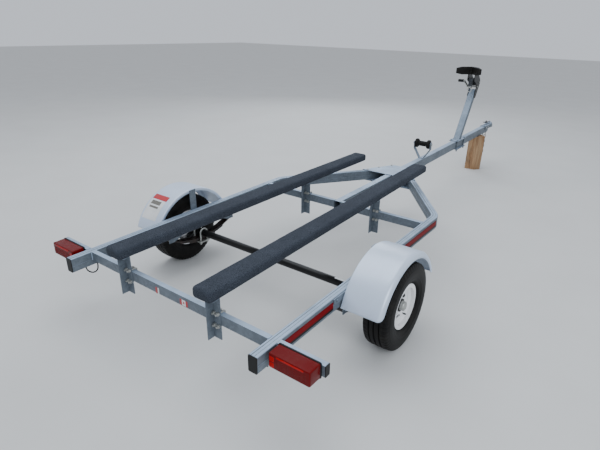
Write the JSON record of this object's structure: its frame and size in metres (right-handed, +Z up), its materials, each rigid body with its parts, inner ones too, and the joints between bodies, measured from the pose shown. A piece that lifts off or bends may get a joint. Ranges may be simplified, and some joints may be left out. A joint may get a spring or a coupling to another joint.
{
  "type": "boat trailer",
  "caption": "Small galvanised single-axle boat trailer with carpeted bunks, fenders, a keel roller, a winch post with bow stop, and its tongue propped on a split log.",
  "frame": {"origin": "on the ground under the middle of the overall box", "axes": "+Y towards the coupler along the trailer, +X to its right, +Z up"},
  "size_m": [1.758, 4.9888, 1.1584],
  "materials": {
    "galvanised_steel": "hot-dip galvanised, dull and weathered with a faint spangle",
    "zinc_hardware": "zinc-plated bolts and clamps, dulled",
    "spring_steel": "dark leaf springs with rust at their edges",
    "tyre": "worn road tyre with dusty sidewalls",
    "wheel_white": "white enamelled pressed steel",
    "hub_black": "black painted hub under a zinc-plated dust cap",
    "fender_silver": "smooth silver-painted steel sheet",
    "black_plastic": "black moulded plastic",
    "lamp_lens": "red ribbed lens",
    "red_reflective": "red retro-reflective tape",
    "cable": "black sheathed cable",
    "roller_rubber": "black rubber roller, scuffed",
    "black_paint": "black semi-gloss paint, worn at edges",
    "winch_metal": "zinc-plated winch parts with a plastic grip",
    "webbing": "dark woven strap",
    "black_rubber": "black rubber",
    "chain_steel": "zinc-plated chain, dull",
    "bunk_carpet": "dark grey marine carpet, worn and sun-faded on top",
    "split_wood": "split firewood, weathered, with bark on one side"
  },
  "bodies": {
    "frame": {"rail_left": "galvanised_steel", "rail_right": "galvanised_steel", "rear_crossbar": "galvanised_steel", "front_crossbar": "galvanised_steel", "tongue": "galvanised_steel", "gusset_plates": "galvanised_steel", "end_caps": "black_plastic", "bunk_left": "bunk_carpet", "bunk_right": "bunk_carpet", "bunk_brackets": "galvanised_steel", "bracket_clamps": "zinc_hardware", "axle": "black_paint", "spring_left": "spring_steel", "spring_right": "spring_steel", "spring_hangers": "galvanised_steel", "axle_clamps": "zinc_hardware", "fender_left": "fender_silver", "fender_right": "fender_silver", "fender_plates": "galvanised_steel", "lamp_bases": "black_plastic", "lamp_left": "lamp_lens", "lamp_right": "lamp_lens", "side_strips": "red_reflective", "lamp_lead_left": "cable", "lamp_lead_right": "cable", "roller_yoke": "galvanised_steel", "stand_plates": "galvanised_steel", "winch_post": "galvanised_steel", "winch_frame": "black_paint", "winch_strap": "webbing", "snap_hook": "zinc_hardware", "bow_stop": "black_rubber", "coupler": "galvanised_steel", "safety_chains": "chain_steel", "prop_log": "split_wood"},
    "wheel_left": {"tyre_left": "tyre", "rim_left": "wheel_white", "hub_left": "hub_black"},
    "wheel_right": {"tyre_right": "tyre", "rim_right": "wheel_white", "hub_right": "hub_black"},
    "roller": {"keel_roller": "roller_rubber"},
    "drum": {"winch_drum": "winch_metal"},
    "crank": {"winch_crank": "winch_metal"},
    "latch": {"coupler_latch": "black_paint"}
  },
  "joints": [
    {"name": "wheel_left_spin", "type": "hinge", "parent": "frame", "child": "wheel_left", "pos_m": [-0.79, -1.60851, 0.23], "axis": [1, 0, 0], "continuous": true},
    {"name": "wheel_right_spin", "type": "hinge", "parent": "frame", "child": "wheel_right", "pos_m": [0.79, -1.60851, 0.23], "axis": [1, 0, 0], "continuous": true},
    {"name": "keel_roller_spin", "type": "hinge", "parent": "frame", "child": "roller", "pos_m": [0, 0.46257, 0.55782], "axis": [1, 0, 0], "continuous": true},
    {"name": "winch_crank_turn", "type": "hinge", "parent": "frame", "child": "crank", "pos_m": [0, 1.63803, 0.95564], "axis": [1, 0, 0], "continuous": true},
    {"name": "winch_drum_turn", "type": "hinge", "parent": "frame", "child": "drum", "pos_m": [0, 1.67721, 0.9984], "axis": [1, 0, 0], "continuous": true},
    {"name": "coupler_latch_lift", "type": "hinge", "parent": "frame", "child": "latch", "pos_m": [0, 2.39735, 0.48395], "axis": [-1, 0, 0], "range_deg": [0, 70]}
  ],
  "couplings": [
    {"joint": "winch_drum_turn", "follows": "winch_crank_turn", "ratio": -0.33333}
  ]
}
